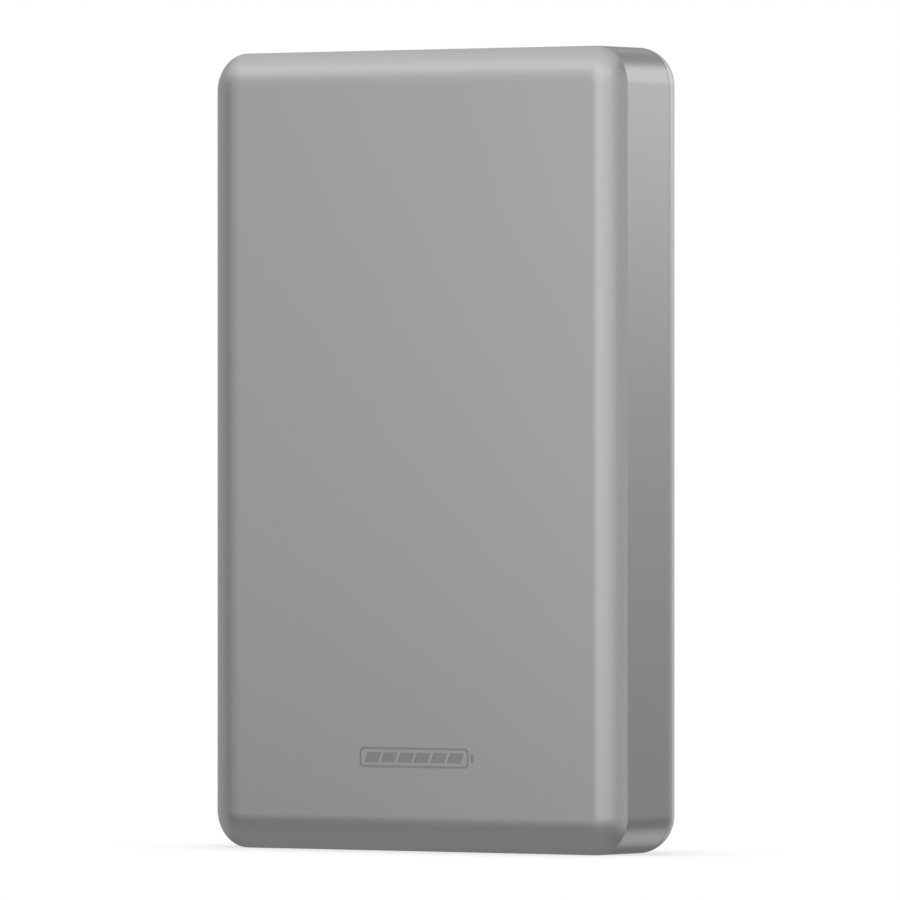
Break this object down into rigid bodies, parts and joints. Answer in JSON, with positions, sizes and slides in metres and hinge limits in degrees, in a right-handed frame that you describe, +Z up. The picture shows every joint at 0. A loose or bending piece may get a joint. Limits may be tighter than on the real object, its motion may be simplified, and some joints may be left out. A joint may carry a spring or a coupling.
{
  "type": "power bank",
  "caption": "Slim upright power bank: satin grey aluminium tray with a shallow front bevel, rounded back cover with a soft magnetic charging panel, USB-C inlet and side power key.",
  "frame": {"origin": "centre of the box's base, on the plane that the bottom end stands on", "axes": "+Z up along the height, -Y out of the plain front face, +Y out of the soft charging panel on the back, +X towards the plain long side; the power key is on the -X side and the USB-C inlet in the bottom end"},
  "size_m": [0.0662, 0.0148, 0.106],
  "materials": {
    "shell_aluminium": "fine bead-blasted and anodised mid grey, satin",
    "cover_grey": "moulded polycarbonate with a satin metallic grey coat that matches the tray",
    "soft_panel": "soft-touch silicone, very fine texture",
    "ring_grey": "matt mid grey inlay",
    "adhesive": "translucent double-sided tape",
    "screw_steel": "dark zinc plated",
    "black_plastic": "fine moulded texture",
    "key_aluminium": "anodised mid grey, satin, polished edge",
    "diffuser": "milky translucent",
    "frame_plastic": "glass-filled, moulded",
    "foam": "closed-cell foam tape",
    "pouch_foil": "laminated pouch foil",
    "nickel": "nickel strip",
    "board_green": "solder mask over glass-epoxy",
    "red_insulation": "silicone wire",
    "black_insulation": "silicone wire",
    "black_sheet": "insulating film",
    "stamped_steel": "nickel-plated stamped steel",
    "contact_gold": "gold flash",
    "ferrite_grey": "sintered, matt",
    "chip_black": "moulded package",
    "capacitor_tan": "fired ceramic",
    "flex_amber": "polyimide",
    "ivory_plastic": "moulded",
    "led_white": "clear resin over a small chip",
    "copper": "enamelled wire",
    "magnet_nickel": "nickel-plated magnet"
  },
  "bodies": {
    "case": {"front_shell": "shell_aluminium", "rear_cover": "cover_grey", "charging_panel": "soft_panel", "alignment_ring": "ring_grey", "panel_tape": "adhesive", "cover_screws": "screw_steel", "usb_collar": "black_plastic", "light_guide": "diffuser", "chassis": "frame_plastic", "front_pad": "foam", "cell_front": "pouch_foil", "cell_rear": "pouch_foil", "cell_tape": "adhesive", "cell_tabs": "nickel", "protection_board": "board_green", "thermistor": "black_plastic", "lead_positive": "red_insulation", "lead_negative": "black_insulation", "insulating_sheet": "black_sheet", "main_board": "board_green", "board_screws": "screw_steel", "usb_shell": "stamped_steel", "usb_core": "black_plastic", "usb_contacts": "contact_gold", "power_inductors": "ferrite_grey", "board_chips": "chip_black", "board_capacitors": "capacitor_tan", "shield_can": "stamped_steel", "key_board": "board_green", "key_board_tape": "adhesive", "key_flex": "flex_amber", "switch_body": "black_plastic", "switch_cover": "stamped_steel", "switch_dome": "stamped_steel", "indicator_leds": "led_white", "charging_coil": "copper", "coil_leads": "copper", "ferrite_sheet": "ferrite_grey", "magnet_ring": "magnet_nickel", "magnet_yoke": "stamped_steel", "alignment_magnet": "magnet_nickel"},
    "button": {"power_button": "key_aluminium"},
    "plunger": {"switch_plunger": "ivory_plastic"}
  },
  "joints": [
    {"name": "button_press", "type": "slide", "parent": "case", "child": "button", "axis": [1, 0, 0], "range_m": [0, 0.0003], "stiffness_N_per_m": 5000},
    {"name": "plunger_press", "type": "slide", "parent": "case", "child": "plunger", "axis": [1, 0, 0], "range_m": [0, 0.0003]}
  ],
  "couplings": [
    {"joint": "plunger_press", "follows": "button_press", "ratio": 1}
  ]
}
